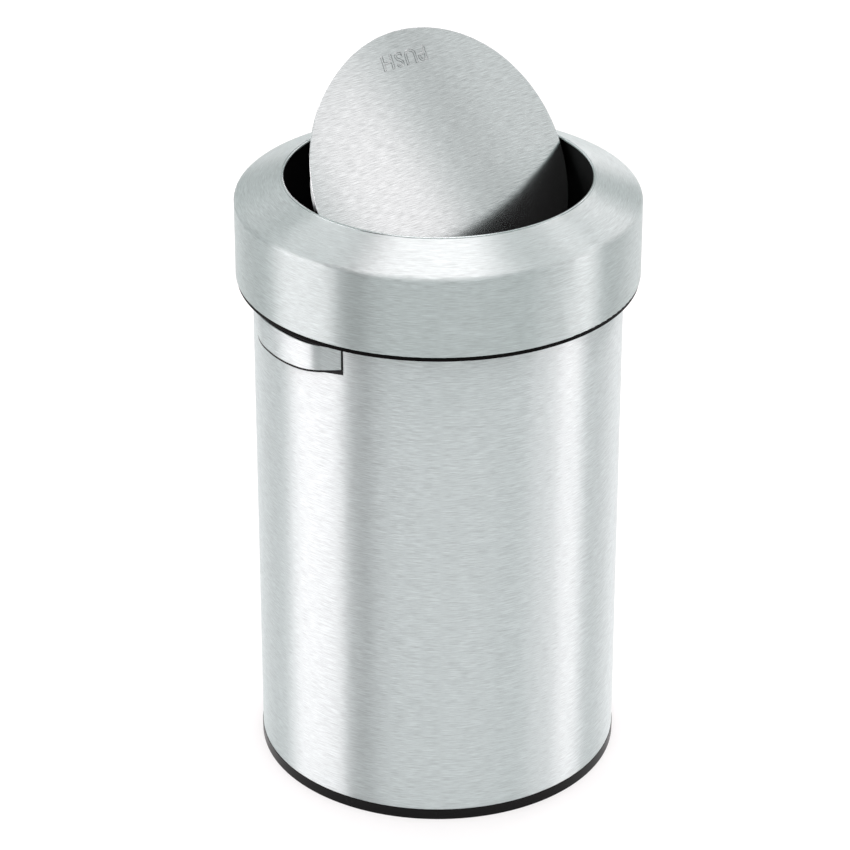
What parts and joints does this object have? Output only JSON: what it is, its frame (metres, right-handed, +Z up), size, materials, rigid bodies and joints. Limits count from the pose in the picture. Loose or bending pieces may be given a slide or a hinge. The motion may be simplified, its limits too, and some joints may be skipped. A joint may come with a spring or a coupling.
{
  "type": "swing-top trash can",
  "caption": "Round brushed-steel litter bin with a lift-off conical collar, finger handles under the collar, a black base ring and a round flap that swings across the opening.",
  "frame": {"origin": "centre of the base ring, on the floor that the bin stands on", "axes": "+Z up along the tube, X along the flap's hinge and through both handles, -Y towards the front, where the flap is pushed in"},
  "size_m": [0.41, 0.41, 0.7762],
  "materials": {
    "can_steel": "fine brushing around the tube",
    "collar_steel": "fine brushing around the collar",
    "flap_steel": "fine brushing along the hinge",
    "strap_steel": "fine brushing along the strap",
    "black_base": "satin moulded",
    "black_liner": "matt moulded",
    "black_grip": "matt moulded",
    "nylon": "satin",
    "zinc_sheet": "dull zinc coated",
    "fastener": "bright zinc plated",
    "iron_weight": "black coated casting"
  },
  "bodies": {
    "can": {"body_shell": "can_steel", "base_ring": "black_base", "bottom_pan": "zinc_sheet", "base_screws": "fastener", "left_handle_grip": "black_grip", "right_handle_grip": "black_grip", "left_handle_strap": "strap_steel", "right_handle_strap": "strap_steel", "handle_screws": "fastener", "handle_washers": "fastener"},
    "lid_ring": {"collar_shell": "collar_steel", "collar_liner": "black_liner", "left_pivot_bush": "nylon", "right_pivot_bush": "nylon"},
    "flap": {"flap_disc": "flap_steel", "left_pivot_ear": "flap_steel", "right_pivot_ear": "flap_steel", "left_pivot_pin": "fastener", "right_pivot_pin": "fastener", "counterweight": "iron_weight", "weight_studs": "fastener", "weight_nuts": "fastener"}
  },
  "joints": [
    {"name": "lid_lift", "type": "slide", "parent": "can", "child": "lid_ring", "axis": [0, 0, 1], "range_m": [0, 0.15]},
    {"name": "flap_swing", "type": "hinge", "parent": "lid_ring", "child": "flap", "pos_m": [0, 0, 0.64093], "axis": [1, 0, 0], "range_deg": [-140, 20]}
  ]
}
